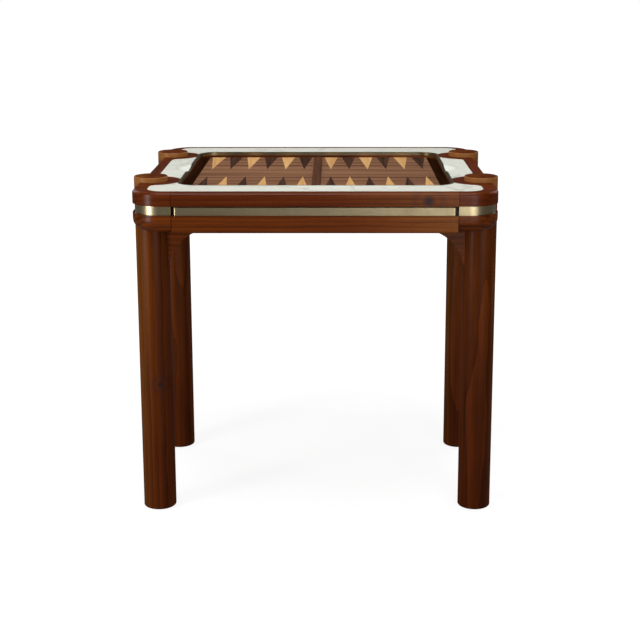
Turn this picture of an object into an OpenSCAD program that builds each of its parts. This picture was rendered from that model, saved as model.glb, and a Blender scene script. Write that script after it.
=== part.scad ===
// Backgammon table: four round posts, a banded apron with a drawer on each long side,
// and a framed top with marble inlays round a sunken inlaid board.
// The origin is on the floor under the middle of the table, and the front faces -Y.

/* [Overall] */
// Width of the corner blocks, outside to outside
body_w = 766; // [690:1:842]
// Depth of the table, front face to back face
body_d = 750; // [675:1:825]
// Height of the top surface above the floor
top_h = 749; // [680:1:820]
// How far the side rails lie inside the corner blocks
side_set = 4; // [1:0.5:8]
// Radius of the table's four corners in plan
corner_r = 64; // [50:1:68]

/* [Legs] */
// Diameter of a leg
leg_d = 73; // [64:1:78]
// Distance of a leg's centre from the side of the corner blocks
leg_set_x = 24.5; // [22:0.5:27]
// Distance of a leg's centre from the front or back of the table
leg_set_y = 172; // [166:1:178]
// How far a leg stands above the top surface
leg_rise = 11; // [6:1:20]
// Rounding at the foot of a leg
foot_r = 4; // [2:0.5:6]
// Rounding at the head of a leg
head_r = 2.5; // [1:0.5:4]
// Diameter of a floor glide
glide_d = 30; // [20:1:40]
// Thickness of a floor glide
glide_t = 4; // [3:0.5:6]
// How far a glide stands out below the leg
glide_proud = 1; // [0.5:0.25:2]

/* [Arched rails] */
// Height of an arched rail at the middle of its span
arch_h = 20; // [18:1:34]
// Thickness of an arched rail
arch_t = 30; // [24:1:34]
// Radius of the arch where a rail meets a leg
arch_r = 100; // [60:1:110]
// Length of a rail's tenon
tenon_l = 20; // [14:1:24]
// Thickness of a rail's tenon
tenon_t = 12; // [8:1:16]
// Height of a rail's tenon
tenon_h = 50; // [30:1:60]
// Shoulder above a rail's tenon
tenon_shoulder = 4; // [2:1:6]
// How far an arch's curve runs on behind the near side of the leg
arch_over = 3; // [1:0.5:5]

/* [Apron] */
// Height of the apron below the top frame
apron_h = 56; // [50:1:66]
// Height of the lower wooden band
band_h = 36.3; // [30:0.1:40]
// Thickness of a side apron
apron_t = 36; // [32:1:40]
// Rounding under the corner blocks
under_r = 24; // [12:1:28]
// Rounding under the drawer fronts and side aprons
face_r = 4; // [1:0.5:8]
// How far the brass lies behind the wood at the corners and sides
brass_inset = 5; // [3:0.5:8]
// Thickness of the corner and side brass
brass_t = 2.5; // [1.5:0.5:4]

/* [Top frame] */
// Thickness of the top frame
top_t = 28; // [26:1:34]
// Rounding along the top edge
edge_r = 7; // [3:0.5:10]
// Width of the frame at the left and right of the board
frame_w = 90.5; // [89.5:0.5:92]
// Width of the frame in front of and behind the board
frame_d = 108; // [104:1:116]
// Length of a corner piece along the front, from the side of the table
corner_run = 86.5; // [82:0.5:89]
// Distance from a side seam to the middle of the nearest post
post_run = 53; // [47:1:57]
// Width of wood outside the front and back marble
border_y = 25; // [20:1:32]
// Width of wood outside the marble at the corners
border_x = 32; // [28:1:36]
// Width of wood left round each post
post_border = 30.5; // [29:0.5:33]
// Radius of the marble's outer corners
marble_r = 37; // [20:1:40]
// Radius of the marble's tips beside the posts
tip_r = 20; // [8:1:22]
// Thickness of the marble
marble_t = 10; // [9:0.5:11]

/* [Board] */
// Radius of the opening's corners
well_r = 40; // [25:1:44]
// How far the playing surface lies below the top
well_depth = 13; // [11:0.5:16]
// Width of the brass trim
trim_w = 5; // [3:0.5:7]
// Height of the brass trim
trim_h = 8; // [8:0.5:9]
// Thickness of the veneers
veneer_t = 2; // [1:0.5:3]
// Width of the middle bar
bar_w = 20; // [14:1:30]
// How far the middle bar stands above the veneers
bar_rise = 2; // [1:0.5:4]
// Width of the dark strip at each side of the board
strip_w = 21.5; // [8:0.5:30]
// Gap between the bases of neighbouring points
base_gap = 10.5; // [4:0.5:16]
// Distance between the tips of facing points
tip_gap = 112; // [60:1:180]
// Distance from a point's base to the edge of the board
point_edge = 2; // [1:0.5:6]
// Lip of the panel that is let into the frame from below
panel_lip = 9; // [5:1:11]

/* [Scoops] */
// Length of a scoop along the edge of the board
scoop_l = 128; // [80:1:150]
// Width of a scoop across the marble
scoop_w = 31; // [20:1:36]
// Depth of a scoop at the edge of the board
scoop_h = 6.5; // [3:0.5:6.5]

/* [Drawers] */
// Gap at each end of a drawer front
drawer_gap = 1.3; // [0.8:0.1:2]
// Gap between a drawer front and the top frame
shadow_gap = 2.4; // [1.5:0.1:4]
// Thickness of a drawer front
front_t = 22; // [20:1:26]
// How far the brass bar lies behind the face of a drawer front
bar_inset = 3; // [1:0.5:5]
// Thickness of a brass bar
bar_t = 6; // [4:0.5:8]
// How much shorter a brass bar is than its drawer front, at each end
bar_end = 4; // [2:0.5:6]
// Distance from a drawer box to the corner blocks at each side
box_side = 16.5; // [12:0.5:20]
// Distance of a drawer's back from the middle of the table
box_rest = 22; // [14:1:60]
// Height of a drawer box
box_h = 45; // [36:1:46]
// Thickness of a drawer's sides and back
box_t = 12; // [9:1:15]
// Thickness of a drawer's bottom
bottom_t = 6; // [4:0.5:8]
// Height of a drawer's bottom above the lower edge of its box
bottom_rise = 4; // [3:1:8]
// Depth of the groove that holds a drawer's bottom
groove_d = 6; // [3:1:7]
// Thickness of a drawer runner
runner_t = 8; // [6:0.5:9]
// Width of a drawer runner
runner_w = 28; // [22:1:34]
// Running gap between a drawer and its runners and guides
run_gap = 0.4; // [0.3:0.1:0.8]
// Thickness of the stretcher between the two drawers
stretcher_t = 20; // [14:1:24]
// Height of the guides beside the drawers
guide_h = 32; // [20:1:40]
// Distance of a runner's end from the back of the drawer front
runner_set = 8; // [4:1:20]
// Number of dovetails at each front corner of a drawer
tail_count = 3; // [2:1:3]
// Length of a dovetail
tail_l = 10; // [6:1:14]
// Width of a dovetail at its root
tail_w = 8; // [6:0.5:9]
// How much wider a dovetail is at its end
tail_flare = 3; // [1:0.5:4]

/* [Fastenings] */
// Length of a spline across a seam of the frame
spline_l = 45; // [30:1:50]
// Width of a spline
spline_w = 20; // [14:1:24]
// Thickness of a spline
spline_t = 4; // [3:0.5:5]
// Height of a spline above the underside of the frame
spline_rise = 4; // [3:0.5:5]
// Diameter of a corner screw
screw_d = 4.8; // [4:0.2:6]
// Diameter of a screw's head
head_d = 9; // [8:0.5:11]
// Thickness of a screw's head
head_t = 3; // [2:0.5:4]
// Depth of the hole below a screw's head
sink_h = 4; // [2:0.5:8]
// Length of a screw
screw_l = 66; // [60:1:66]

/* [Hidden] */

$fn = 96;
// Glue-line clearance between fixed wooden pieces
fit = 0.2;
// Overshoot of a cut past the face that it leaves
cut = 5;
// How far a marble tip's rounding runs into the ring round the post, to cross it cleanly
tip_overlap = 0.1;

leg_r = leg_d / 2;
leg_top = top_h + leg_rise;
half_w = body_w / 2;
half_d = body_d / 2;
side_x = half_w - side_set;
leg_x = half_w - leg_set_x;
leg_y = half_d - leg_set_y;
seam_x = half_w - corner_run;
seam_y = leg_y - post_run;
well_w = body_w - 2 * frame_w;
well_d = body_d - 2 * frame_d;

top_z = top_h - top_t;
apron_z = top_z - apron_h;
band_z = apron_z + band_h;
soffit_z = apron_z - arch_h;
tenon_z = apron_z - tenon_shoulder - tenon_h;

ring_r = leg_r + post_border;
marble_x = half_w - border_x;
marble_y = half_d - border_y;
marble_z = top_h - marble_t;
trim_x = well_w / 2 + trim_w;
trim_y = well_d / 2 + trim_w;
trim_z = top_h - trim_h;
board_z = top_h - well_depth;
panel_z = board_z - veneer_t;

columns = 6;
field_x = well_w / 2 - strip_w;
pitch = (field_x - bar_w / 2) / columns;
point_w = pitch - base_gap;
point_y = well_d / 2 - point_edge;
point_l = point_y - tip_gap / 2;

face_half = seam_x - drawer_gap;
face_top = top_z - shadow_gap;
box_z = apron_z + runner_t + run_gap;
bottom_z = box_z + bottom_rise;
box_front = half_d - front_t;
box_d = box_front - box_rest;
box_x = seam_x - box_side;
guide_x = box_x + run_gap;
bar_back = bar_inset + bar_t;
arch_x = leg_x - leg_r + arch_over;
arch_y = leg_y - leg_r + arch_over;
// Centre of the front left corner's curve
corner_x = half_w - corner_r;
corner_y = half_d - corner_r;
// Where the front rail ends beside the straight side of the opening
rail_end = well_d / 2 - well_r;
// Middle of the frame's width, for the splines of the side and front seams
spline_x = (well_w / 2 + panel_lip + side_x) / 2;
spline_y = (well_d / 2 + panel_lip + half_d) / 2;
// Circle of a scoop in plan, and the sphere that cuts it
scoop_plan_r = (pow(scoop_l / 2, 2) + pow(scoop_w, 2)) / (2 * scoop_w);
scoop_rise = (pow(scoop_plan_r, 2) - pow(scoop_plan_r - scoop_w, 2) - pow(scoop_h, 2)) / (2 * scoop_h);
scoop_r = sqrt(pow(scoop_plan_r, 2) + pow(scoop_rise, 2));
// Centre of the rounding at a marble's tip, from the middle of the post
tip_reach = ring_r + tip_r - tip_overlap;
tip_dx = leg_x - marble_x + tip_r;
tip_dy = sqrt(pow(tip_reach, 2) - pow(tip_dx, 2));
// Places of the screws in the front left corner block
screw_places = [[-corner_x, -(corner_y + half_d) / 2], [-corner_x, -(corner_y + leg_y + leg_r) / 2]];

walnut = [0.36, 0.17, 0.09];
dark_walnut = [0.24, 0.13, 0.08];
board_walnut = [0.48, 0.34, 0.25];
brass = [0.62, 0.54, 0.38];
marble = [0.86, 0.86, 0.81];
maple = [0.80, 0.64, 0.42];
black_felt = [0.12, 0.12, 0.12];
steel = [0.6, 0.6, 0.62];

// Shared shapes

// A rectangle with rounded corners, centred on the origin
module rounded_rect(w, d, r) {
    square([w - 2 * r, d], center = true);
    square([w, d - 2 * r], center = true);
    for (sx = [-1, 1], sy = [-1, 1])
        translate([sx * (w / 2 - r), sy * (d / 2 - r)]) circle(r);
}

// The opening of the board, grown by a margin on every side
module well_2d(grow = 0) {
    rounded_rect(well_w + 2 * grow, well_d + 2 * grow, well_r + grow);
}

// The section of an edge: depth d and height h, its outer corner rounded at the top
module eased_top(d, h, r) {
    square([d, h - r]);
    square([d - r, h]);
    intersection() {
        translate([d - r, h - r]) circle(r);
        square([d, h]);
    }
}

// The same section rounded at the bottom instead
module eased_under(d, h, r) {
    translate([0, h]) mirror([0, 1]) eased_top(d, h, r);
}

// Sweeps an edge section from the front seam round the front left corner to the post
// The section's depth is measured outwards from the centre of the corner's curve
module corner_sweep() {
    translate([-corner_x, -corner_y, 0]) rotate([0, 0, 180]) rotate_extrude(angle = 90) children();
    translate([-seam_x, -corner_y, 0]) rotate([90, 0, -90])
        linear_extrude(corner_x - seam_x) children();
    translate([-corner_x, -corner_y, 0]) rotate([90, 0, 180])
        linear_extrude(corner_y - leg_y) children();
}

// Sweeps an edge section along the left side, facing outwards from the line x = -x0
module side_sweep(x0, y0, y1) {
    translate([-x0, y0, 0]) rotate([90, 0, 180]) linear_extrude(y1 - y0) children();
}

// Sweeps an edge section along the front, facing outwards from the line y = -y0
module front_sweep(y0, half) {
    translate([half, -y0, 0]) rotate([90, 0, -90]) linear_extrude(2 * half) children();
}

// One upright cylinder at each post
module at_posts() {
    for (sx = [-1, 1], sy = [-1, 1])
        translate([sx * leg_x, sy * leg_y]) children();
}

// The posts with glue-line clearance, to cope a piece round them
module post_cut() {
    at_posts() cylinder(r = leg_r + fit, h = leg_top + cut);
}

// Turns a front left piece into its match at another corner
module corner(right, back) {
    mirror([right, 0, 0]) mirror([0, back, 0]) children();
}

// Legs

module post_section() {
    foot = glide_proud;
    translate([0, foot + foot_r]) square([leg_r, leg_top - foot - foot_r - head_r]);
    translate([0, foot]) square([leg_r - foot_r, leg_top - foot]);
    translate([0, foot + foot_r]) square([leg_r - head_r, leg_top - foot - foot_r]);
    translate([leg_r - foot_r, foot + foot_r]) circle(foot_r);
    translate([leg_r - head_r, leg_top - head_r]) circle(head_r);
}

module leg(right, back) {
    color(walnut) difference() {
        translate([(right * 2 - 1) * leg_x, (back * 2 - 1) * leg_y, 0])
            rotate_extrude() post_section();
        translate([(right * 2 - 1) * leg_x, (back * 2 - 1) * leg_y, 0])
            cylinder(d = glide_d + fit, h = glide_t);
        corner(right, back) front_tenon(fit);
        corner(right, back) side_tenon(fit);
    }
}

module floor_glides() {
    color(black_felt) at_posts() cylinder(d = glide_d, h = glide_t);
}

// Arched rails

// A tenon on the left end of the front rail, grown by a margin for its mortise
module front_tenon(grow = 0) {
    translate([-leg_x + leg_r - tenon_l - grow, -leg_y - tenon_t / 2 - grow, tenon_z - grow])
        cube([tenon_l + arch_over + grow, tenon_t + 2 * grow, tenon_h + 2 * grow]);
}

// A tenon on the front end of the left rail
module side_tenon(grow = 0) {
    translate([-leg_x - tenon_t / 2 - grow, -leg_y + leg_r - tenon_l - grow, tenon_z - grow])
        cube([tenon_t + 2 * grow, tenon_l + arch_over + grow, tenon_h + 2 * grow]);
}

// The face of a rail whose arch springs from x = -half and x = half, ending at the leg centres
module arch_face(half, end) {
    translate([-end, soffit_z]) square([2 * end, arch_h]);
    difference() {
        translate([-end, soffit_z - arch_r]) square([2 * end, arch_r]);
        for (s = [-1, 1]) translate([s * (half - arch_r), soffit_z - arch_r]) circle(arch_r);
        translate([-half + arch_r, soffit_z - arch_r - cut])
            square([2 * (half - arch_r), arch_r + cut]);
        translate([-half, soffit_z - 2 * arch_r]) square([2 * half, arch_r]);
    }
}

module front_rail() {
    difference() {
        translate([0, -leg_y + arch_t / 2, 0]) rotate([90, 0, 0])
            linear_extrude(arch_t) arch_face(arch_x, leg_x);
        post_cut();
    }
    for (right = [0, 1]) corner(right, 0) front_tenon();
}

module side_rail() {
    difference() {
        translate([-leg_x - arch_t / 2, 0, 0]) rotate([90, 0, 90])
            linear_extrude(arch_t) arch_face(arch_y, leg_y);
        post_cut();
    }
    for (back = [0, 1]) corner(0, back) side_tenon();
}

module front_arched_rail() { color(walnut) front_rail(); }
module back_arched_rail() { color(walnut) corner(0, 1) front_rail(); }
module left_arched_rail() { color(walnut) side_rail(); }
module right_arched_rail() { color(walnut) corner(1, 0) side_rail(); }

// Corner blocks under the top frame

module screw_holes() {
    for (p = screw_places) translate([p[0], p[1], 0]) {
        translate([0, 0, apron_z - cut]) cylinder(d = head_d + fit, h = sink_h + head_t + cut);
        translate([0, 0, apron_z]) cylinder(d = screw_d + fit, h = sink_h + head_t + screw_l + fit);
    }
}

module corner_block(right, back) {
    core = corner_r - brass_inset - brass_t - fit;
    color(walnut) corner(right, back) difference() {
        union() {
            corner_sweep() translate([0, apron_z]) eased_under(corner_r, band_h, under_r);
            corner_sweep() translate([0, band_z]) square([core, apron_h - band_h]);
            translate([-corner_x, -corner_y, apron_z])
                cube([corner_x - seam_x, corner_y - leg_y, apron_h]);
        }
        post_cut();
        screw_holes();
    }
}

module corner_brass(right, back) {
    color(brass) corner(right, back) difference() {
        corner_sweep() translate([corner_r - brass_inset - brass_t, band_z])
            square([brass_t, apron_h - band_h]);
        post_cut();
    }
}

module corner_screws() {
    color(steel) for (right = [0, 1], back = [0, 1]) corner(right, back)
        for (p = screw_places) translate([p[0], p[1], apron_z + sink_h]) {
            cylinder(d = head_d, h = head_t);
            cylinder(d = screw_d, h = head_t + screw_l);
        }
}

// Side aprons

module apron(right) {
    core = apron_t - brass_inset - brass_t - fit;
    color(walnut) corner(right, 0) difference() {
        union() {
            side_sweep(side_x - apron_t, -leg_y, leg_y)
                translate([0, apron_z]) eased_under(apron_t, band_h, face_r);
            side_sweep(side_x - apron_t, -leg_y, leg_y)
                translate([0, band_z]) square([core, apron_h - band_h]);
        }
        post_cut();
    }
}

module apron_brass(right) {
    color(brass) corner(right, 0) difference() {
        side_sweep(side_x - apron_t, -leg_y, leg_y)
            translate([apron_t - brass_inset - brass_t, band_z])
                square([brass_t, apron_h - band_h]);
        post_cut();
    }
}

// Top frame

// The part of a marble's corner that is cut away outside its rounded tip
// The post is at the origin, the outside of the table is +x, and the marble lies towards +y
module tip_relief(grow) {
    reach = tip_r + cut;
    lean = [tip_dx, -tip_dy] / tip_reach;
    difference() {
        translate([-tip_dx, tip_dy])
            polygon([[0, 0], [reach, 0], [reach, -reach], lean * reach]);
        translate([-tip_dx, tip_dy]) circle(tip_r + grow);
    }
}

// All four marbles in plan: a margin grows them into their pockets
module marble_2d(grow = 0) {
    difference() {
        rounded_rect(2 * (marble_x + grow), 2 * (marble_y + grow), marble_r + grow);
        well_2d(trim_w + fit - grow);
        at_posts() circle(ring_r - grow);
        for (sx = [0, 1], sy = [0, 1], way = [0, 1])
            mirror([sx, 0]) mirror([0, sy]) translate([leg_x, leg_y])
                mirror([0, way]) tip_relief(grow);
    }
}

// Everything that is cut out of the top frame
module frame_cuts() {
    translate([0, 0, top_z - cut]) linear_extrude(top_t + 2 * cut) well_2d();
    translate([0, 0, top_z - cut]) linear_extrude(panel_z - top_z + cut)
        well_2d(panel_lip + fit);
    translate([0, 0, trim_z]) linear_extrude(trim_h + cut) well_2d(trim_w + fit / 2);
    translate([0, 0, marble_z]) linear_extrude(marble_t + cut) marble_2d(fit);
    post_cut();
    splines(fit);
}

// Loose splines across the seams, grown by a margin for their slots
module splines(grow = 0) {
    spline_z = top_z + spline_rise;
    for (right = [0, 1], back = [0, 1]) corner(right, back) {
        translate([-seam_x - spline_w / 2, -spline_y - spline_l / 2, spline_z - grow])
            cube([spline_w, spline_l, spline_t + 2 * grow]);
        translate([-spline_x - spline_l / 2, -seam_y - spline_w / 2, spline_z - grow])
            cube([spline_l, spline_w, spline_t + 2 * grow]);
    }
}

module frame_splines() { color(dark_walnut) splines(); }

module top_corner(right, back) {
    color(walnut) corner(right, back) difference() {
        union() {
            corner_sweep() translate([0, top_z]) eased_top(corner_r, top_t, edge_r);
            translate([-corner_x, -corner_y, top_z])
                cube([corner_x - seam_x, corner_y - leg_y, top_t]);
            translate([-corner_x, -rail_end, top_z])
                cube([corner_x - well_w / 2, rail_end - seam_y, top_t]);
            side_sweep(well_w / 2, -leg_y, -seam_y)
                translate([0, top_z]) eased_top(side_x - well_w / 2, top_t, edge_r);
        }
        frame_cuts();
        screw_holes();
    }
}

module front_frame() {
    difference() {
        front_sweep(rail_end, seam_x)
            translate([0, top_z]) eased_top(half_d - rail_end, top_t, edge_r);
        frame_cuts();
    }
}

module side_frame() {
    difference() {
        side_sweep(well_w / 2, -seam_y, seam_y)
            translate([0, top_z]) eased_top(side_x - well_w / 2, top_t, edge_r);
        frame_cuts();
    }
}

module front_top_rail() { color(walnut) front_frame(); }
module back_top_rail() { color(walnut) corner(0, 1) front_frame(); }
module left_top_rail() { color(walnut) side_frame(); }
module right_top_rail() { color(walnut) corner(1, 0) side_frame(); }

// The dished hand scoops at the left and right of the board
module scoops() {
    for (s = [-1, 1])
        translate([s * (trim_x + scoop_w - scoop_plan_r), 0, top_h + scoop_rise])
            sphere(scoop_r);
}

module long_marble() {
    translate([0, 0, marble_z]) linear_extrude(marble_t) intersection() {
        marble_2d();
        translate([-half_w, -half_d]) square([body_w, half_d - leg_y]);
    }
}

module short_marble() {
    difference() {
        translate([0, 0, marble_z]) linear_extrude(marble_t) intersection() {
            marble_2d();
            translate([-half_w, -leg_y]) square([half_w, 2 * leg_y]);
        }
        scoops();
    }
}

module front_marble() { color(marble) long_marble(); }
module back_marble() { color(marble) corner(0, 1) long_marble(); }
module left_marble() { color(marble) short_marble(); }
module right_marble() { color(marble) corner(1, 0) short_marble(); }

// Board

module board_trim() {
    color(brass) difference() {
        translate([0, 0, trim_z]) linear_extrude(trim_h) difference() {
            well_2d(trim_w);
            well_2d();
        }
        scoops();
    }
}

module board_panel() {
    color(dark_walnut) translate([0, 0, top_z]) linear_extrude(panel_z - top_z)
        well_2d(panel_lip);
}

// The floor of the well between two x values, within the rounded opening
module floor_2d(x0, x1) {
    intersection() {
        well_2d(-fit);
        translate([x0, -half_d]) square([x1 - x0, body_d]);
    }
}

// A point of the board in column i of a half, standing on its base at the front
module point_2d(i, grow = 0) {
    x = bar_w / 2 + pitch * (i + 0.5);
    polygon([[x - point_w / 2 - grow, -point_y - grow], [x + point_w / 2 + grow, -point_y - grow],
             [x, -point_y + point_l + grow]]);
}

// The points of one colour: light starts at the outside of the left half's back row
module points_2d(light, grow = 0) {
    for (i = [0:columns - 1]) {
        odd = i % 2;
        if (odd == light) mirror([1, 0]) mirror([0, 1]) point_2d(i, grow);
        if (odd != light) mirror([1, 0]) point_2d(i, grow);
        if (odd != light) mirror([0, 1]) point_2d(i, grow);
        if (odd == light) point_2d(i, grow);
    }
}

module points(light) {
    translate([0, 0, panel_z]) linear_extrude(veneer_t) points_2d(light);
}

module field(x0, x1) {
    color(board_walnut) translate([0, 0, panel_z]) linear_extrude(veneer_t) difference() {
        floor_2d(x0, x1);
        points_2d(0, fit / 2);
        points_2d(1, fit / 2);
    }
}

module left_field() { field(-field_x, -bar_w / 2); }
module right_field() { field(bar_w / 2, field_x); }
module light_points() { color(maple) points(1); }
module dark_points() { color(dark_walnut) points(0); }

module side_strips() {
    color(dark_walnut) translate([0, 0, panel_z]) linear_extrude(veneer_t) {
        floor_2d(-half_w, -field_x);
        floor_2d(field_x, half_w);
    }
}

module centre_bar() {
    color(walnut) translate([0, 0, panel_z]) linear_extrude(veneer_t + bar_rise)
        floor_2d(-bar_w / 2, bar_w / 2);
}

// Drawer runners and guides

module runner(right) {
    color(dark_walnut) corner(right, 0) translate([-seam_x, -box_front + runner_set, apron_z])
        cube([runner_w, 2 * (box_front - runner_set), runner_t]);
}

module guide(right) {
    color(dark_walnut) corner(right, 0)
        translate([-seam_x, -box_front + runner_set, apron_z + runner_t])
            cube([seam_x - guide_x, 2 * (box_front - runner_set), guide_h]);
}

module centre_stretcher() {
    color(dark_walnut) translate([-guide_x, -stretcher_t / 2, apron_z + runner_t])
        cube([2 * guide_x, stretcher_t, apron_h - runner_t]);
}

// Drawers

// The dovetails at the front of a drawer's left side, grown for their sockets
module tails(grow = 0) {
    for (i = [0:tail_count - 1])
        translate([-box_x - grow, -box_front, box_z + box_h * (i + 0.5) / tail_count])
            rotate([90, 0, 90]) linear_extrude(box_t + 2 * grow)
                polygon([[grow, -tail_w / 2 - grow], [-tail_l - grow, -(tail_w + tail_flare) / 2 - grow],
                         [-tail_l - grow, (tail_w + tail_flare) / 2 + grow],
                         [grow, tail_w / 2 + grow]]);
}

// The drawer's bottom, grown for its grooves
module bottom_board(grow = 0) {
    side = box_x - box_t + groove_d;
    translate([-side - grow, -box_front - groove_d - grow, bottom_z - grow])
        cube([2 * (side + grow), box_d - box_t + 2 * (groove_d + grow), bottom_t + 2 * grow]);
}

module drawer_face() {
    color(walnut) difference() {
        union() {
            front_sweep(box_front, face_half)
                translate([0, apron_z]) eased_under(front_t, band_h, face_r);
            front_sweep(box_front, face_half)
                translate([0, band_z]) square([front_t - bar_back - fit, face_top - band_z]);
        }
        for (right = [0, 1]) corner(right, 0) tails(fit);
        bottom_board(fit);
    }
}

module drawer_brass() {
    half = face_half - bar_end;
    color(brass) translate([-half, -half_d + bar_inset, band_z])
        cube([2 * half, bar_t, face_top - band_z]);
}

module drawer_sides() {
    color(board_walnut) for (right = [0, 1]) corner(right, 0) difference() {
        union() {
            translate([-box_x, -box_front, box_z]) cube([box_t, box_d, box_h]);
            tails();
        }
        bottom_board(fit);
    }
}

module drawer_back() {
    inner = box_x - box_t;
    color(board_walnut) difference() {
        translate([-inner, -box_front + box_d - box_t, box_z]) cube([2 * inner, box_t, box_h]);
        bottom_board(fit);
    }
}

module drawer_bottom() { color(board_walnut) bottom_board(); }

leg(0, 0);  // front_left_leg
leg(1, 0);  // front_right_leg
leg(0, 1);  // back_left_leg
leg(1, 1);  // back_right_leg
floor_glides();
front_arched_rail();
back_arched_rail();
left_arched_rail();
right_arched_rail();
corner_block(0, 0);  // front_left_corner_block
corner_block(1, 0);  // front_right_corner_block
corner_block(0, 1);  // back_left_corner_block
corner_block(1, 1);  // back_right_corner_block
corner_brass(0, 0);  // front_left_corner_brass
corner_brass(1, 0);  // front_right_corner_brass
corner_brass(0, 1);  // back_left_corner_brass
corner_brass(1, 1);  // back_right_corner_brass
apron(0);  // left_apron
apron(1);  // right_apron
apron_brass(0);  // left_apron_brass
apron_brass(1);  // right_apron_brass
top_corner(0, 0);  // front_left_top_corner
top_corner(1, 0);  // front_right_top_corner
top_corner(0, 1);  // back_left_top_corner
top_corner(1, 1);  // back_right_top_corner
front_top_rail();
back_top_rail();
left_top_rail();
right_top_rail();
front_marble();
back_marble();
left_marble();
right_marble();
board_trim();
board_panel();
left_field();
right_field();
side_strips();
light_points();
dark_points();
centre_bar();
runner(0);  // left_drawer_runner
runner(1);  // right_drawer_runner
guide(0);  // left_drawer_guide
guide(1);  // right_drawer_guide
centre_stretcher();
drawer_face();  // front_drawer_face
drawer_brass();  // front_drawer_brass
drawer_sides();  // front_drawer_sides
drawer_back();  // front_drawer_back
drawer_bottom();  // front_drawer_bottom
corner(0, 1) drawer_face();  // back_drawer_face
corner(0, 1) drawer_brass();  // back_drawer_brass
corner(0, 1) drawer_sides();  // back_drawer_sides
corner(0, 1) drawer_back();  // back_drawer_back
corner(0, 1) drawer_bottom();  // back_drawer_bottom
frame_splines();
corner_screws();
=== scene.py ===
"""Backgammon table: camera, light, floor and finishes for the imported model."""
import math

import bmesh
import bpy
from mathutils import Euler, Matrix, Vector


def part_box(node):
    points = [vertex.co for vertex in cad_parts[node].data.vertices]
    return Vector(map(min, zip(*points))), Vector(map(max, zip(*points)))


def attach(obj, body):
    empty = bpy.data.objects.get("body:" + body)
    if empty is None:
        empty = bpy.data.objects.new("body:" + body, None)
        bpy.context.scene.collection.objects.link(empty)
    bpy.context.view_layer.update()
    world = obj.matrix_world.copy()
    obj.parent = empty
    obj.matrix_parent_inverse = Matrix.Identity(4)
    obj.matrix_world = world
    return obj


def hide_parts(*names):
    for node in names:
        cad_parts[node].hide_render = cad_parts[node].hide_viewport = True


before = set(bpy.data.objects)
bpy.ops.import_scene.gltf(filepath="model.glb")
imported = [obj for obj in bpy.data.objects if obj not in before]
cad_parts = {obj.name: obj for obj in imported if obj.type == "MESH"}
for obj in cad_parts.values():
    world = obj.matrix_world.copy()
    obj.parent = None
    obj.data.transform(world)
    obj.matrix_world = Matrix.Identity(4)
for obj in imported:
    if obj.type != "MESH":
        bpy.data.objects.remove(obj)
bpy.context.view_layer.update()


# Camera

# A long lens a little above the table, turned down towards it
CAMERA_PLACE = (0.0396, -3.0635, 1.1878)
CAMERA_PITCH = math.radians(12.52)
LENS_MM = 74.8
SENSOR_MM = 36.0
FRAME_SHIFT = (-0.0222, -0.08)


def set_camera():
    data = bpy.data.cameras.new("camera")
    data.lens = LENS_MM
    data.sensor_width = SENSOR_MM
    data.shift_x, data.shift_y = FRAME_SHIFT
    data.clip_end = 100
    camera = bpy.data.objects.new("camera", data)
    camera.location = CAMERA_PLACE
    camera.rotation_euler = Euler((math.pi / 2 - CAMERA_PITCH, 0, 0))
    bpy.context.scene.collection.objects.link(camera)
    bpy.context.scene.camera = camera


# Node helpers

def add_node(tree, kind, inputs=None, **settings):
    """Adds a node; inputs maps a socket's name or number to a value or to a socket."""
    node = tree.nodes.new(kind)
    for name, value in settings.items():
        setattr(node, name, value)
    for key, value in (inputs or {}).items():
        if isinstance(value, bpy.types.NodeSocket):
            tree.links.new(value, node.inputs[key])
        else:
            node.inputs[key].default_value = value
    return node


def maths(tree, operation, a, b=0.0, c=0.0, clamp=False):
    return add_node(tree, "ShaderNodeMath", {0: a, 1: b, 2: c},
                    operation=operation, use_clamp=clamp).outputs[0]


def blend_colours(tree, factor, first, second, how="MIX"):
    """Goes from the first colour to the second as the factor goes from 0 to 1."""
    node = add_node(tree, "ShaderNodeMix", data_type="RGBA", blend_type=how)
    for socket, value in zip([node.inputs[i] for i in (0, 6, 7)], (factor, first, second)):
        if isinstance(value, bpy.types.NodeSocket):
            tree.links.new(value, socket)
        else:
            socket.default_value = value
    return node.outputs[2]


def tint(tree, factor, colour, times):
    """Multiplies a colour by another, as far as the factor says."""
    return blend_colours(tree, factor, colour,
                         blend_colours(tree, 1.0, colour, times, "MULTIPLY"))


def remap(tree, value, low, high, to_low=0.0, to_high=1.0):
    """Goes smoothly from to_low to to_high as the value goes from low to high."""
    return add_node(tree, "ShaderNodeMapRange",
                    {0: value, 1: low, 2: high, 3: to_low, 4: to_high},
                    interpolation_type="SMOOTHSTEP").outputs[0]


def object_coordinates(tree):
    return tree.nodes.new("ShaderNodeTexCoord").outputs["Object"]


def axis_of(tree, vector, axis):
    return add_node(tree, "ShaderNodeSeparateXYZ", {0: vector}).outputs[axis]


def use_group(tree, name, inputs):
    return add_node(tree, "ShaderNodeGroup", inputs, node_tree=bpy.data.node_groups[name])


def new_group(name, inputs, outputs):
    """Starts a node group; inputs and outputs give each socket's name, kind and value."""
    group = bpy.data.node_groups.new(name, "ShaderNodeTree")
    for label, kind, value in inputs:
        socket = group.interface.new_socket(label, in_out="INPUT", socket_type=kind)
        if value is not None:
            socket.default_value = value
    for label, kind in outputs:
        group.interface.new_socket(label, in_out="OUTPUT", socket_type=kind)
    return group, group.nodes.new("NodeGroupInput"), group.nodes.new("NodeGroupOutput")


def stretched_noise(tree, vector, stretch, scale, detail=3.0, rough=0.55):
    moved = add_node(tree, "ShaderNodeMapping", {"Vector": vector, "Scale": stretch})
    return add_node(tree, "ShaderNodeTexNoise",
                    {"Vector": moved.outputs[0], "Scale": scale, "Detail": detail,
                     "Roughness": rough}).outputs["Fac"]


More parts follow.
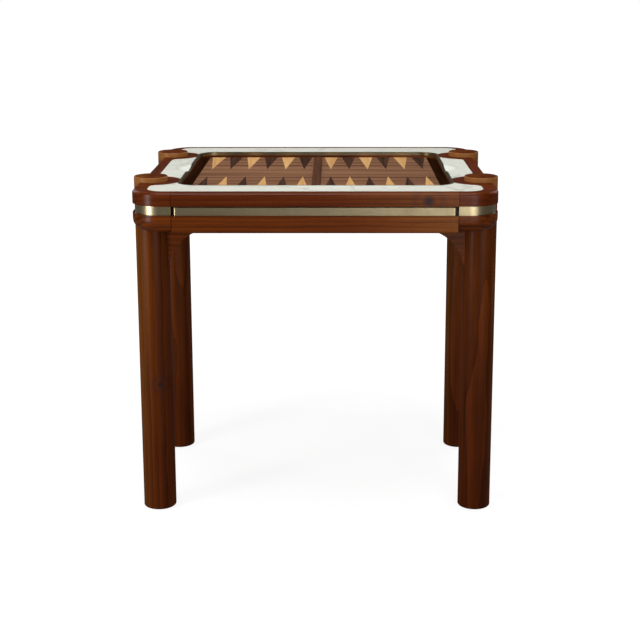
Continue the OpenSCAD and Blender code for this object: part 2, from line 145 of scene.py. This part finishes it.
FLOAT, COLOUR, VECTOR = "NodeSocketFloat", "NodeSocketColor", "NodeSocketVector"


def linear(r, g, b):
    """A colour given as it looks on screen, 0 to 255, as the shader's own values."""
    def channel(v):
        v /= 255
        return v / 12.92 if v <= 0.04045 else ((v + 0.055) / 1.055) ** 2.4
    return (channel(r), channel(g), channel(b), 1.0)


# Shared effects

# How far the heart of the tree lies from the middle of a board
PITH_OFFSET = (0.0, 0.43, 0.31)


def build_wood_grain():
    """Sawn timber whose grain runs along x: growth rings, fibres, pores and slow patches."""
    group, given, made = new_group(
        "wood grain",
        [("Vector", VECTOR, None), ("Dark", COLOUR, None), ("Light", COLOUR, None),
         ("Ring Scale", FLOAT, 30.0), ("Contrast", FLOAT, 1.0), ("Patches", FLOAT, 0.3),
         ("Streaks", FLOAT, 0.3)],
        [("Color", COLOUR), ("Roughness", FLOAT), ("Height", FLOAT)])
    place = given.outputs["Vector"]
    drift = stretched_noise(group, place, (0.7, 3.0, 3.0), 3.0, 3.0)
    from_pith = add_node(group, "ShaderNodeVectorMath", {0: place, 1: PITH_OFFSET})
    sway = add_node(group, "ShaderNodeCombineXYZ", {1: maths(group, "MULTIPLY", drift, 0.06)})
    bent = add_node(group, "ShaderNodeVectorMath", {0: from_pith.outputs[0], 1: sway.outputs[0]})
    flat = add_node(group, "ShaderNodeMapping",
                    {"Vector": bent.outputs[0], "Scale": (0.12, 1.0, 1.0)})
    rings = add_node(group, "ShaderNodeTexWave",
                     {"Vector": flat.outputs[0], "Scale": given.outputs["Ring Scale"],
                      "Distortion": 3.0, "Detail": 2.0, "Detail Scale": 1.4},
                     wave_type="RINGS", rings_direction="X", wave_profile="SAW").outputs["Fac"]
    fibres = stretched_noise(group, place, (5.0, 170.0, 170.0), 1.0, 4.0, 0.6)
    patches = stretched_noise(group, place, (1.4, 7.0, 7.0), 1.5, 2.0)
    pores = stretched_noise(group, place, (90.0, 1500.0, 1500.0), 1.0, 1.0)
    pore_mask = remap(group, pores, 0.62, 0.72)
    streaks = stretched_noise(group, place, (0.9, 55.0, 55.0), 1.0, 2.0)
    tone = maths(group, "MULTIPLY_ADD", rings, 0.42, maths(group, "MULTIPLY", fibres, 0.75))
    tone = maths(group, "SUBTRACT", tone, 0.585)
    streak_tone = maths(group, "MULTIPLY", maths(group, "SUBTRACT", streaks, 0.5),
                        given.outputs["Streaks"])
    tone = maths(group, "MULTIPLY_ADD", streak_tone, 3.0, tone)
    tone = maths(group, "MULTIPLY", tone, given.outputs["Contrast"])
    slow = maths(group, "MULTIPLY", maths(group, "SUBTRACT", patches, 0.5),
                 given.outputs["Patches"])
    tone = maths(group, "ADD", maths(group, "MULTIPLY", slow, 2.4), tone)
    tone = maths(group, "ADD", tone, 0.5, clamp=True)
    colour = blend_colours(group, tone, given.outputs["Dark"], given.outputs["Light"])
    colour = blend_colours(group, maths(group, "MULTIPLY", pore_mask, 0.45), colour,
                           given.outputs["Dark"])
    group.links.new(colour, made.inputs["Color"])
    group.links.new(maths(group, "MULTIPLY_ADD", fibres, 0.16,
                          maths(group, "MULTIPLY", pore_mask, 0.12)), made.inputs["Roughness"])
    group.links.new(maths(group, "SUBTRACT", maths(group, "MULTIPLY", fibres, 0.5), pore_mask),
                    made.inputs["Height"])


def build_seam_line():
    """A hairline where two pieces meet, at an equal distance either side of the middle."""
    group, given, made = new_group(
        "seam line", [("Across", FLOAT, 0.0), ("Distance", FLOAT, 0.3), ("Width", FLOAT, 0.001)],
        [("Mask", FLOAT)])
    off = maths(group, "ABSOLUTE", given.outputs["Across"])
    off = maths(group, "ABSOLUTE", maths(group, "SUBTRACT", off, given.outputs["Distance"]))
    group.links.new(maths(group, "LESS_THAN", off, given.outputs["Width"]), made.inputs["Mask"])


def build_knot():
    """A small round knot: a dark eye with a soft ring round it."""
    group, given, made = new_group(
        "knot", [("Vector", VECTOR, None), ("Centre", VECTOR, None), ("Radius", FLOAT, 0.018)],
        [("Mask", FLOAT)])
    away = add_node(group, "ShaderNodeVectorMath",
                    {0: given.outputs["Vector"], 1: given.outputs["Centre"]},
                    operation="DISTANCE").outputs["Value"]
    away = maths(group, "DIVIDE", away, given.outputs["Radius"])
    eye = remap(group, away, 0.1, 1.0, 1.0, 0.0)
    ring = maths(group, "MULTIPLY", remap(group, away, 1.0, 1.5),
                 remap(group, away, 1.5, 2.4, 1.0, 0.0))
    group.links.new(maths(group, "MULTIPLY_ADD", ring, 0.22,
                          maths(group, "MULTIPLY", eye, 0.85), clamp=True), made.inputs["Mask"])


def build_post_ends():
    """A post's two ends: painted light that makes its head's side paler, and painted shade that
    darkens the wood towards its foot. The end grain on top keeps its dark colour."""
    group, given, made = new_group(
        "post ends", [("Vector", VECTOR, None), ("Top", FLOAT, 0.76), ("Reach", FLOAT, 0.03),
                      ("Foot Reach", FLOAT, 0.55)],
        [("Painted Light", FLOAT), ("Foot", FLOAT)])
    height = axis_of(group, given.outputs["Vector"], "Z")
    below = maths(group, "SUBTRACT", given.outputs["Top"], height)
    patchy = stretched_noise(group, given.outputs["Vector"], (1.0, 1.0, 1.0), 12.0)
    reached = maths(group, "ADD", maths(group, "DIVIDE", below, given.outputs["Reach"]),
                    maths(group, "SUBTRACT", patchy, 0.5))
    group.links.new(maths(group, "MULTIPLY", remap(group, reached, 0.3, 1.3, 1.0, 0.0),
                          maths(group, "GREATER_THAN", below, 0.0008)), made.inputs["Painted Light"])
    rising = maths(group, "DIVIDE", height, given.outputs["Foot Reach"])
    group.links.new(remap(group, rising, 0.0, 1.0, 1.0, 0.0), made.inputs["Foot"])


def build_marble_veins():
    """Pale stone with soft grey clouds and a few thin crossing veins."""
    group, given, made = new_group(
        "marble veins", [("Vector", VECTOR, None), ("Stone", COLOUR, None), ("Vein", COLOUR, None)],
        [("Color", COLOUR), ("Roughness", FLOAT)])
    place = given.outputs["Vector"]
    warp = add_node(group, "ShaderNodeTexNoise", {"Vector": place, "Scale": 4.0, "Detail": 4.0})
    bent = add_node(group, "ShaderNodeVectorMath",
                    {0: warp.outputs["Color"], 1: (0.35, 0.35, 0.35), 2: place},
                    operation="MULTIPLY_ADD").outputs[0]

    def vein(scale, width):
        noise = add_node(group, "ShaderNodeTexNoise",
                         {"Vector": bent, "Scale": scale, "Detail": 5.0, "Roughness": 0.5})
        off = maths(group, "ABSOLUTE", maths(group, "SUBTRACT", noise.outputs["Fac"], 0.5))
        return remap(group, off, 0.0, width, 1.0, 0.0)

    bold = vein(3.2, 0.018)
    fine = maths(group, "MULTIPLY", vein(9.0, 0.02), 0.45)
    clouds = remap(group, stretched_noise(group, bent, (1.0, 1.0, 1.0), 5.0, 4.0), 0.42, 0.75)
    mask = maths(group, "MAXIMUM", bold, fine)
    mask = maths(group, "MULTIPLY_ADD", clouds, 0.16, maths(group, "MULTIPLY", mask, 0.30),
                 clamp=True)
    colour = blend_colours(group, mask, given.outputs["Stone"], given.outputs["Vein"])
    group.links.new(colour, made.inputs["Color"])
    group.links.new(maths(group, "MULTIPLY_ADD", mask, 0.14, 0.24), made.inputs["Roughness"])


def build_brushed_metal():
    """Metal brushed along x, with slow tarnish and fine scratches."""
    group, given, made = new_group(
        "brushed metal",
        [("Vector", VECTOR, None), ("Bright", COLOUR, None), ("Tarnish", COLOUR, None)],
        [("Color", COLOUR), ("Roughness", FLOAT), ("Height", FLOAT)])
    place = given.outputs["Vector"]
    lines = stretched_noise(group, place, (12.0, 12.0, 2200.0), 1.0, 3.0)
    cloud = stretched_noise(group, place, (1.0, 1.0, 1.0), 9.0, 5.0, 0.6)
    dull = remap(group, cloud, 0.4, 0.75)
    colour = blend_colours(group, maths(group, "MULTIPLY", dull, 0.8), given.outputs["Bright"],
                           given.outputs["Tarnish"])
    group.links.new(colour, made.inputs["Color"])
    rough = maths(group, "MULTIPLY_ADD", lines, 0.14,
                  maths(group, "MULTIPLY_ADD", dull, 0.10, 0.22))
    group.links.new(rough, made.inputs["Roughness"])
    group.links.new(lines, made.inputs["Height"])


# Finishes

# How much paler and yellower sapwood is than the heartwood beside it; the same tint also serves as
# painted light on lit sides
SAPWOOD_AND_LIGHT_TINT = (1.5, 2.2, 2.6, 1.0)
# Painted shade: how much darker a post's wood is painted at its foot
PAINTED_FOOT_SHADE = (0.7, 0.58, 0.5, 1.0)
# Painted light: the paler colour painted on the sides of the post heads
PAINTED_HEAD_LIGHT = linear(146, 96, 50)
# The blue-grey heart of a knot
KNOT = linear(28, 26, 33)

RAIL_DARK, RAIL_LIGHT = linear(44, 12, 1), linear(98, 40, 7)
BAND_DARK, BAND_LIGHT = linear(48, 16, 1), linear(112, 51, 9)
LEG_DARK, LEG_LIGHT = linear(44, 14, 1), linear(104, 48, 10)
BOARD_DARK, BOARD_LIGHT = linear(66, 41, 28), linear(138, 99, 74)
MAPLE_DARK, MAPLE_LIGHT = linear(160, 116, 70), linear(206, 164, 110)
POINT_DARK, POINT_LIGHT = linear(38, 25, 19), linear(76, 53, 41)
STRIP_DARK, STRIP_LIGHT = linear(20, 9, 3), linear(46, 24, 11)
BAR_DARK, BAR_LIGHT = linear(44, 24, 13), linear(86, 52, 32)
INNER_DARK, INNER_LIGHT = linear(84, 56, 38), linear(140, 102, 72)
BEECH_DARK, BEECH_LIGHT = linear(168, 128, 88), linear(208, 170, 126)
BRASS, BRASS_TARNISH = linear(176, 160, 126), linear(132, 118, 90)
OLD_BRASS, OLD_BRASS_TARNISH = linear(144, 132, 104), linear(98, 88, 66)
STONE, STONE_VEIN = linear(194, 195, 185), linear(122, 122, 117)
# Painted highlight: the paler stone in a scoop; painted shade: the darker line at its lip
SCOOP_HIGHLIGHT_STONE, LIP_SHADE_STONE = linear(207, 208, 199), linear(180, 181, 171)

# The stretch of x over which each leg turns paler, outwards on the left and inwards behind: partly
# sapwood, partly painted light on the side the lamps light
LEG_SAPWOOD_AND_LIGHT = {"front_left": (-0.352, -0.386), "front_right": (0.384, 0.394),
               "back_left": (-0.372, -0.392), "back_right": (0.345, 0.325)}
# The same on the long rails and on the drawer fronts, whose paler right ends are partly sapwood and
# partly painted light
RAIL_SAPWOOD_AND_LIGHT = (0.0, 0.27)
DRAWER_SAPWOOD_AND_LIGHT = (0.05, 0.32)
# Centre and radius of the knot in the front rail and of the one in the front left leg
RAIL_KNOT = ((0.234, -0.375, 0.732), 0.018)
LEG_KNOTS = {"front_left": ((-0.346, -0.238, 0.296), 0.011)}
# Where the seams of the frame lie, from the middle
SEAM_X, SEAM_Y = 0.2965, 0.150
SEAM_HALF_WIDTH = 0.0006
# Past this x and above this z a drawer front is painted dark as painted shade, beside the ends of
# its bar
BAR_END_SHADE = (0.2911, 0.7013)
# Height of the marble's upper face
MARBLE_TOP = 0.749
# What the grain adds to a wood's roughness on average
GRAIN_ROUGHNESS = 0.08

# Turns the grain, which runs along x, to run along another axis
GRAIN_TURN = {"x": (0.0, 0.0, 0.0), "y": (0.0, 0.0, -math.pi / 2), "z": (0.0, math.pi / 2, 0.0)}


def new_material(name):
    material = bpy.data.materials.new(name)
    material.use_nodes = True
    tree = material.node_tree
    return material, tree, tree.nodes["Principled BSDF"]


def object_place(tree, rotation=(0, 0, 0), location=(0, 0, 0)):
    return add_node(tree, "ShaderNodeMapping",
                    {"Vector": object_coordinates(tree), "Rotation": rotation,
                     "Location": location}).outputs[0]


def darker(colour, share):
    return tuple(share * v for v in colour[:3]) + (1.0,)


def clear_coat(shader, weight, rough):
    """Leaves the gloss to a clear coat alone, which keeps the glare at low angles small."""
    shader.inputs["Specular IOR Level"].default_value = 0.0
    shader.inputs["Coat Weight"].default_value = weight
    shader.inputs["Coat Roughness"].default_value = rough


def use_bump(tree, shader, height, strength, distance):
    bump = add_node(tree, "ShaderNodeBump",
                    {"Height": height, "Strength": strength, "Distance": distance})
    tree.links.new(bump.outputs[0], shader.inputs["Normal"])


def wood(name, dark, light, along="x", offset=(0, 0, 0), rings=30.0, contrast=1.0,
         patches=0.3, streaks=0.3, rough=0.38, coat=0.3, coat_rough=0.28, seam=None, knot=None,
         sapwood_and_light=None, paleness=0.8, painted_head_light=0.0, recess=None):
    """A timber finish. seam gives the axis and distance of a joint line, knot its centre and
    radius, sapwood_and_light the stretch of x over which the board turns paler, partly sapwood and
    partly painted light, painted_head_light how strongly a post's head is painted paler as painted
    light, which also brings painted shade towards its foot, and recess the half width and height
    past which painted shade darkens it."""
    material, tree, shader = new_material(name)
    figure = use_group(tree, "wood grain",
                       {"Vector": object_place(tree, GRAIN_TURN[along], offset), "Dark": dark,
                        "Light": light, "Ring Scale": rings, "Contrast": contrast,
                        "Patches": patches, "Streaks": streaks})
    colour = figure.outputs["Color"]
    plain = object_coordinates(tree)
    # Paler towards one side: partly sapwood, partly painted light where the lamps light that side
    if sapwood_and_light:
        pale = maths(tree, "MULTIPLY", remap(tree, axis_of(tree, plain, "X"), *sapwood_and_light), paleness)
        colour = tint(tree, pale, colour, SAPWOOD_AND_LIGHT_TINT)
    # Painted light on the side of a post's head, and painted shade darkening the post towards its
    # foot
    if painted_head_light:
        ends = use_group(tree, "post ends", {"Vector": plain})
        colour = blend_colours(tree, maths(tree, "MULTIPLY", ends.outputs["Painted Light"], painted_head_light), colour,
                               PAINTED_HEAD_LIGHT)
        colour = tint(tree, ends.outputs["Foot"], colour, PAINTED_FOOT_SHADE)
    # Painted shade, dark beside the ends of a drawer bar
    if recess:
        outside = maths(tree, "GREATER_THAN",
                        maths(tree, "ABSOLUTE", axis_of(tree, plain, "X")), recess[0])
        above = maths(tree, "GREATER_THAN", axis_of(tree, plain, "Z"), recess[1])
        colour = blend_colours(tree, maths(tree, "MULTIPLY", outside, above), colour,
                               darker(dark, 0.105))
    if seam:
        line = use_group(tree, "seam line", {"Across": axis_of(tree, plain, seam[0]),
                                             "Distance": seam[1], "Width": SEAM_HALF_WIDTH})
        colour = blend_colours(tree, line.outputs[0], colour, darker(dark, 0.35))
    if knot:
        eye = use_group(tree, "knot", {"Vector": plain, "Centre": knot[0], "Radius": knot[1]})
        colour = blend_colours(tree, eye.outputs[0], colour, KNOT)
    tree.links.new(colour, shader.inputs["Base Color"])
    tree.links.new(maths(tree, "ADD", figure.outputs["Roughness"], rough - GRAIN_ROUGHNESS),
                   shader.inputs["Roughness"])
    clear_coat(shader, coat, coat_rough)
    use_bump(tree, shader, figure.outputs["Height"], 0.12, 0.0003)
    return material


def marble_stone(name):
    """Polished stone. Below its top, in the scoops, a painted highlight makes it paler, with a line
    of painted shade at the lip where the scoop starts."""
    material, tree, shader = new_material(name)
    stone = use_group(tree, "marble veins",
                      {"Vector": object_place(tree), "Stone": STONE, "Vein": STONE_VEIN})
    below = maths(tree, "SUBTRACT", MARBLE_TOP, axis_of(tree, object_coordinates(tree), "Z"))
    # Painted highlight paler in the scoop, and painted shade in a line at its lip
    scooped = remap(tree, below, 0.001, 0.004)
    lip = maths(tree, "MULTIPLY", remap(tree, below, 0.0001, 0.0006),
                remap(tree, below, 0.0006, 0.0022, 1.0, 0.0))
    colour = blend_colours(tree, scooped, stone.outputs["Color"], SCOOP_HIGHLIGHT_STONE)
    colour = blend_colours(tree, lip, colour, LIP_SHADE_STONE)
    tree.links.new(colour, shader.inputs["Base Color"])
    tree.links.new(stone.outputs["Roughness"], shader.inputs["Roughness"])
    clear_coat(shader, 0.1, 0.08)
    return material


def brushed_brass(name, bright, tarnish):
    material, tree, shader = new_material(name)
    metal = use_group(tree, "brushed metal",
                      {"Vector": object_place(tree), "Bright": bright, "Tarnish": tarnish})
    shader.inputs["Metallic"].default_value = 1.0
    tree.links.new(metal.outputs["Color"], shader.inputs["Base Color"])
    tree.links.new(metal.outputs["Roughness"], shader.inputs["Roughness"])
    use_bump(tree, shader, metal.outputs["Height"], 0.08, 0.0002)
    return material


def speckled(name, low, high, scale, rough, metallic, bump):
    """A small matt piece whose colour and roughness wander a little."""
    material, tree, shader = new_material(name)
    fleck = add_node(tree, "ShaderNodeTexNoise",
                     {"Vector": object_place(tree), "Scale": scale, "Detail": 4.0}).outputs["Fac"]
    tree.links.new(blend_colours(tree, fleck, low, high), shader.inputs["Base Color"])
    tree.links.new(remap(tree, fleck, 0.3, 0.7, rough - 0.08, rough + 0.08),
                   shader.inputs["Roughness"])
    shader.inputs["Metallic"].default_value = metallic
    use_bump(tree, shader, fleck, bump, 0.0003)
    return material


def finish_nodes(bars):
    """Makes every finish and puts it on the nodes and the new bars that wear it."""
    for build in (build_wood_grain, build_seam_line, build_knot, build_post_ends,
                  build_marble_veins, build_brushed_metal):
        build()

    wears = {}

    def wear(material, *nodes):
        for node in nodes:
            wears[node] = material

    rows, sides = ("front", "back"), ("left", "right")
    for i, leg in enumerate(f"{row}_{side}" for row in rows for side in sides):
        wear(wood(f"{leg} leg walnut", LEG_DARK, LEG_LIGHT, "z", (0.31 * i, 0.2 * i, 0),
                  rings=22, contrast=0.9, patches=0.35, rough=0.44, coat=0.2, coat_rough=0.3,
                  sapwood_and_light=LEG_SAPWOOD_AND_LIGHT[leg], paleness=0.7, painted_head_light=0.75,
                  knot=LEG_KNOTS.get(leg)), f"{leg}_leg")

    wear(wood("long rail walnut", RAIL_DARK, RAIL_LIGHT, "x", contrast=0.85, seam=(0, SEAM_X),
              sapwood_and_light=RAIL_SAPWOOD_AND_LIGHT, paleness=1.0, knot=RAIL_KNOT),
         "front_top_rail", "back_top_rail")
    wear(wood("short rail walnut", RAIL_DARK, RAIL_LIGHT, "y", (0.4, 0.1, 0), seam=(1, SEAM_Y)),
         "left_top_rail", "right_top_rail")
    for i, side in enumerate(sides):
        for j, row in enumerate(rows):
            wear(wood(f"{row} {side} corner walnut", RAIL_DARK, RAIL_LIGHT, "x",
                      (0.5 + 0.4 * i, 0.12 + 0.1 * j, 0.07), contrast=1.1, seam=(0, SEAM_X)),
                 f"{row}_{side}_top_corner")
            wear(wood(f"{row} {side} block walnut", BAND_DARK, BAND_LIGHT, "x",
                      (0.2 + 0.3 * i, 0.32 + 0.1 * j, 0.17), contrast=1.1),
                 f"{row}_{side}_corner_block")
    wear(wood("drawer front walnut", BAND_DARK, BAND_LIGHT, "x", (0.1, 0.27, 0.0),
              contrast=0.85, sapwood_and_light=DRAWER_SAPWOOD_AND_LIGHT, recess=BAR_END_SHADE),
         "front_drawer_face", "back_drawer_face")
    wear(wood("side apron walnut", BAND_DARK, BAND_LIGHT, "y", (0.2, 0.14, 0)),
         "left_apron", "right_apron")
    wear(wood("arch walnut across", LEG_DARK, LEG_LIGHT, "x", (0.3, 0.44, 0)),
         "front_arched_rail", "back_arched_rail")
    wear(wood("arch walnut along", LEG_DARK, LEG_LIGHT, "y", (0.1, 0.24, 0)),
         "left_arched_rail", "right_arched_rail")

    wear(marble_stone("polished marble"),
         "front_marble", "back_marble", "left_marble", "right_marble")
    wear(brushed_brass("brushed brass", BRASS, BRASS_TARNISH),
         *[f"{row}_{side}_corner_brass" for row in rows for side in sides],
         "left_apron_brass", "right_apron_brass", "front_drawer_brass", "back_drawer_brass",
         *[bar.name for bar in bars])
    wear(brushed_brass("aged brass", OLD_BRASS, OLD_BRASS_TARNISH), "board_trim")

    veneer = {"rough": 0.45, "coat": 0.1, "coat_rough": 0.25}
    wear(wood("board walnut", BOARD_DARK, BOARD_LIGHT, "x", (0.2, 0.6, 0), rings=24,
              contrast=1.1, streaks=0.5, **veneer), "left_field", "right_field")
    wear(wood("maple points", MAPLE_DARK, MAPLE_LIGHT, "y", rings=40, contrast=0.7, **veneer),
         "light_points")
    wear(wood("dark points", POINT_DARK, POINT_LIGHT, "y", (0.1, 0, 0), **veneer), "dark_points")
    wear(wood("side strip walnut", STRIP_DARK, STRIP_LIGHT, "y", (0.1, 0.3, 0),
              rough=0.6, coat=0.0), "side_strips")
    wear(wood("middle bar walnut", BAR_DARK, BAR_LIGHT, "y", (0.6, 0.3, 0),
              rough=0.4, coat_rough=0.2), "centre_bar")

    for along, nodes in (("x", ("board_panel", "frame_splines", "centre_stretcher")),
                         ("y", ("left_drawer_runner", "right_drawer_runner",
                                "left_drawer_guide", "right_drawer_guide"))):
        wear(wood(f"inner timber {along}", INNER_DARK, INNER_LIGHT, along, (0.3, 0.5, 0.1),
                  rough=0.55, coat=0.0), *nodes)
    for along, parts in (("x", ("back", "bottom")), ("y", ("sides",))):
        wear(wood(f"drawer beech {along}", BEECH_DARK, BEECH_LIGHT, along, (0.2, 0.1, 0.4),
                  rings=36, contrast=0.6, rough=0.5, coat=0.05, coat_rough=0.3),
             *[f"{row}_drawer_{part}" for row in rows for part in parts])
    wear(speckled("glide", linear(24, 24, 24), linear(48, 47, 45), 900, 0.75, 0.0, 0.3),
         "floor_glides")
    wear(speckled("zinc", linear(150, 150, 152), linear(196, 196, 200), 500, 0.35, 1.0, 0.1),
         "corner_screws")

    for node, material in wears.items():
        slots = bpy.data.objects[node].data.materials
        slots.clear()
        slots.append(material)


# New pieces

# Rounding of a drawer bar's two outer ends and of its long edges
BAR_END_ROUND = 0.0045
BAR_LONG_ROUND = 0.0005


def settled_mesh(name, shape):
    """A shape's mesh with its corners and faces listed by place: a bevel lists the same ones in
    another order each run."""
    corners = sorted(shape.verts, key=lambda corner: corner.co[:])
    number = {corner: i for i, corner in enumerate(corners)}
    mesh = bpy.data.meshes.new(name)
    mesh.from_pydata([corner.co for corner in corners], [],
                     sorted([number[corner] for corner in face.verts] for face in shape.faces))
    return mesh


def dress_drawer_bar(row):
    """The brass bar of a drawer, its outer ends rounded and its edges eased, as if filed."""
    node = f"{row}_drawer_brass"
    low, high = (Vector(corner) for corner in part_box(node))
    bar = bmesh.new()
    bmesh.ops.create_cube(bar, size=1.0)
    bmesh.ops.scale(bar, vec=high - low, verts=bar.verts)
    bmesh.ops.translate(bar, vec=(low + high) / 2, verts=bar.verts)

    def ease(edges, amount, segments):
        bmesh.ops.bevel(bar, geom=edges, offset=amount, segments=segments, profile=0.5,
                        affect="EDGES", material=-1)

    def rise(edge):
        return abs(edge.verts[0].co.z - edge.verts[1].co.z)

    outer = low.y if row == "front" else high.y
    ends = [edge for edge in bar.edges
            if all(abs(v.co.y - outer) < 1e-6 for v in edge.verts)
            and rise(edge) > (high.z - low.z) * 0.9]
    ease(ends, BAR_END_ROUND, 5)
    rims = [edge for edge in bar.edges
            if rise(edge) < 1e-6 and len(edge.link_faces) == 2 and edge.calc_face_angle() > 1.0]
    ease(rims, BAR_LONG_ROUND, 2)
    mesh = settled_mesh(f"{row} bar", bar)
    bar.free()
    piece = bpy.data.objects.new(f"{row}_drawer_bar", mesh)
    bpy.context.scene.collection.objects.link(piece)
    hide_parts(node)
    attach(piece, f"{row}_drawer")
    return piece


# Floor and light

# Light from all round, and what polish and metal see of the room, the backdrop and the floor
WORLD_LEVEL = 0.15
ROOM_LEVEL = 0.07
BACKDROP_LEVEL = 0.10
FLOOR_SHEEN = 0.06
# Half the floor's width, its grey, and how bright it looks to the camera near the table and away
FLOOR_HALF = 40.0
FLOOR_GREY = 0.18
GLOW_NEAR, GLOW_AWAY = (0.7, 0.86), (2.6, 1.0)
# Each softbox's place, the point that it aims at, its width and height, and its power
SOFTBOXES = {
    "overhead": ((0, -0.6, 3.0), (0, 0, 0.7), (2.2, 1.8), 65),
    "left strip": ((-2.4, -1.9, 1.1), (0, 0, 0.6), (0.7, 2.0), 56),
    "right box": ((1.2, -3.0, 1.05), (0, 0, 0.6), (1.4, 1.5), 44),
    "back left fill": ((-2.3, 2.6, 1.9), (0, 0, 0.5), (2.2, 2.0), 36),
    "back right fill": ((2.6, 2.2, 1.9), (0, 0, 0.5), (2.2, 2.0), 36),
}


def lay_floor():
    """A pale floor that is white to the camera and keeps the table's soft shadow."""
    sheet = bmesh.new()
    bmesh.ops.create_grid(sheet, x_segments=1, y_segments=1, size=FLOOR_HALF)
    mesh = bpy.data.meshes.new("floor")
    sheet.to_mesh(mesh)
    sheet.free()
    floor = bpy.data.objects.new("floor", mesh)
    bpy.context.scene.collection.objects.link(floor)
    material, tree, shader = new_material("pale floor")
    shader.inputs["Base Color"].default_value = (FLOOR_GREY, FLOOR_GREY, FLOOR_GREY, 1)
    shader.inputs["Roughness"].default_value = 0.9
    shader.inputs["Specular IOR Level"].default_value = 0.0
    away = add_node(tree, "ShaderNodeVectorMath", {0: object_coordinates(tree)},
                    operation="LENGTH").outputs["Value"]
    glow = remap(tree, away, GLOW_NEAR[0], GLOW_AWAY[0], GLOW_NEAR[1], GLOW_AWAY[1])
    rays = tree.nodes.new("ShaderNodeLightPath")
    seen = maths(tree, "MAXIMUM", rays.outputs["Is Camera Ray"],
                 maths(tree, "MULTIPLY", rays.outputs["Is Glossy Ray"], FLOOR_SHEEN))
    seen = maths(tree, "MAXIMUM", seen, rays.outputs["Is Transmission Ray"])
    tree.links.new(maths(tree, "MULTIPLY", seen, glow), shader.inputs["Emission Strength"])
    shader.inputs["Emission Color"].default_value = (1, 1, 1, 1)
    mesh.materials.append(material)


def set_world():
    """White to the camera, and a dim even light on everything else."""
    world = bpy.data.worlds.new("white studio")
    bpy.context.scene.world = world
    world.use_nodes = True
    tree = world.node_tree
    tree.nodes.clear()
    rays = tree.nodes.new("ShaderNodeLightPath")
    heading = axis_of(tree, tree.nodes.new("ShaderNodeTexCoord").outputs["Generated"], "Y")
    backdrop = remap(tree, heading, 0.2, 0.9, ROOM_LEVEL, BACKDROP_LEVEL)
    seen = maths(tree, "MAXIMUM", rays.outputs["Is Camera Ray"],
                 rays.outputs["Is Transmission Ray"])
    lit = add_node(tree, "ShaderNodeMix", {0: rays.outputs["Is Glossy Ray"], 2: WORLD_LEVEL,
                                           3: backdrop}).outputs[0]
    strength = add_node(tree, "ShaderNodeMix", {0: seen, 2: lit, 3: 1.0}).outputs[0]
    shine = add_node(tree, "ShaderNodeBackground", {"Color": (1, 1, 1, 1), "Strength": strength})
    out = tree.nodes.new("ShaderNodeOutputWorld")
    tree.links.new(shine.outputs[0], out.inputs[0])


def hang_softbox(name, place, aim, size, power):
    data = bpy.data.lights.new(name, "AREA")
    data.shape = "RECTANGLE"
    data.size, data.size_y = size
    data.energy = power
    lamp = bpy.data.objects.new(name, data)
    lamp.location = place
    lamp.visible_camera = False
    lamp.rotation_euler = (Vector(place) - Vector(aim)).to_track_quat("Z", "Y").to_euler()
    bpy.context.scene.collection.objects.link(lamp)


set_camera()
bars = [dress_drawer_bar("front"), dress_drawer_bar("back")]
finish_nodes(bars)
lay_floor()
set_world()
for name, setting in SOFTBOXES.items():
    hang_softbox(name, *setting)
bpy.context.scene.view_settings.view_transform = "Standard"
